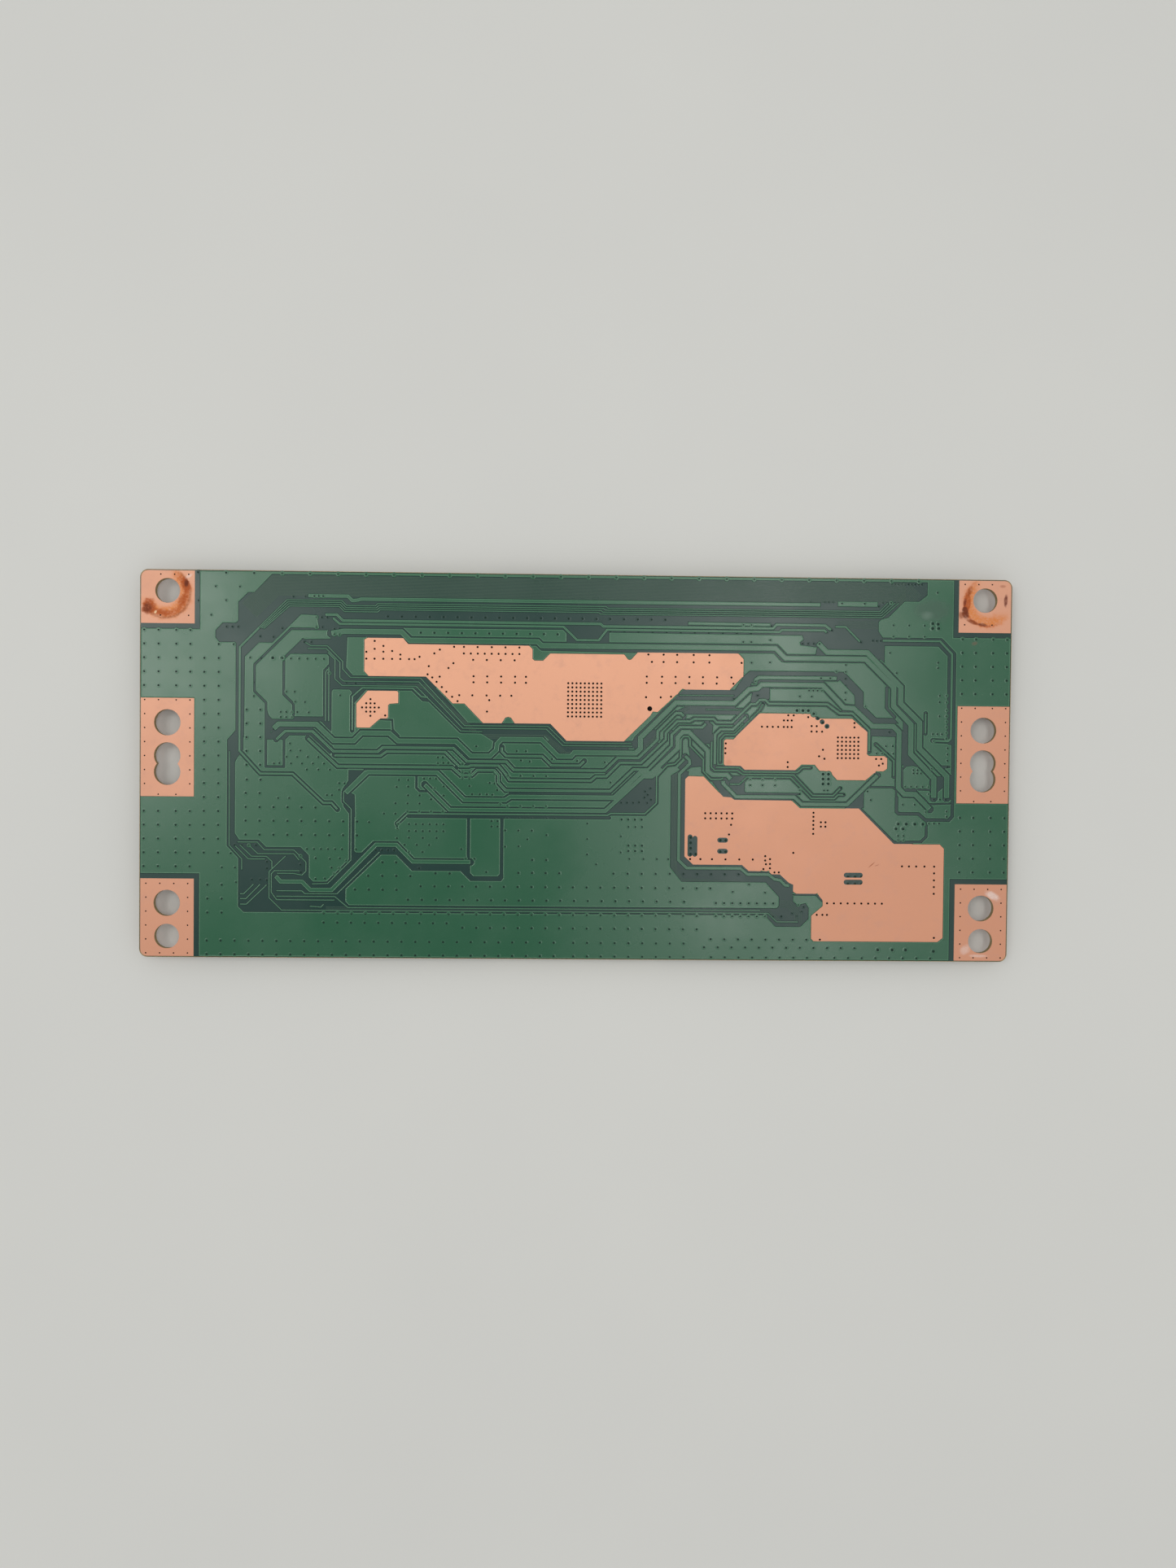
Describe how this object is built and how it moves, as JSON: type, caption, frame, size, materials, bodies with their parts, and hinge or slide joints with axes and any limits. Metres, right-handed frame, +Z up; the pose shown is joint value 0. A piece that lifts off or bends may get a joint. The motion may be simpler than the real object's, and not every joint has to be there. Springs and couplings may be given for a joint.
{
  "type": "t-con board",
  "caption": "Long circuit board that times a flat display, lying component side down, with bare copper screw pads and heat pours, round screw holes and keyholes.",
  "frame": {"origin": "centre of the board, at the height of the surface that its connectors rest on", "axes": "+X along the long side, +Y across the board, +Z up out of the solder side that shows in the picture"},
  "size_m": [0.16, 0.0708, 0.0034],
  "materials": {
    "laminate": "cut glass-epoxy edge, olive brown",
    "solder_mask": "glossy green coat over bare laminate",
    "coated_copper": "glossy green coat over copper",
    "bare_copper": "bare copper, dull salmon, with oxide and flux stains",
    "package": "moulded epoxy",
    "tin": "tinned metal",
    "ferrite": "pressed ferrite",
    "ceramic": "fired ceramic",
    "connector": "moulded ivory plastic",
    "contact": "thin gold plating"
  },
  "bodies": {
    "root": {"laminate": "laminate", "upper_mask": "solder_mask", "lower_mask": "solder_mask", "coated_pours": "coated_copper", "coated_tracks": "coated_copper", "upper_left_pad": "bare_copper", "upper_right_pad": "bare_copper", "middle_left_pad": "bare_copper", "middle_right_pad": "bare_copper", "lower_left_pad": "bare_copper", "lower_right_pad": "bare_copper", "timing_heat_pour": "bare_copper", "power_heat_pour": "bare_copper", "supply_heat_pour": "bare_copper", "shifter_heat_pour": "bare_copper", "timing_controller": "package", "power_manager": "package", "level_shifter": "package", "gamma_buffer": "package", "flash_memory": "package", "diodes": "package", "transistors": "package", "small_resistors": "package", "timing_leads_row": "tin", "chip_leads": "tin", "inductor_pads": "tin", "lead_frames": "tin", "end_caps": "tin", "crystal": "tin", "power_inductors": "ferrite", "input_fuse": "ceramic", "bulk_capacitors": "ceramic", "small_capacitors": "ceramic", "left_panel_connector": "connector", "right_panel_connector": "connector", "input_connector": "connector", "connector_contacts": "contact"}
  },
  "joints": []
}
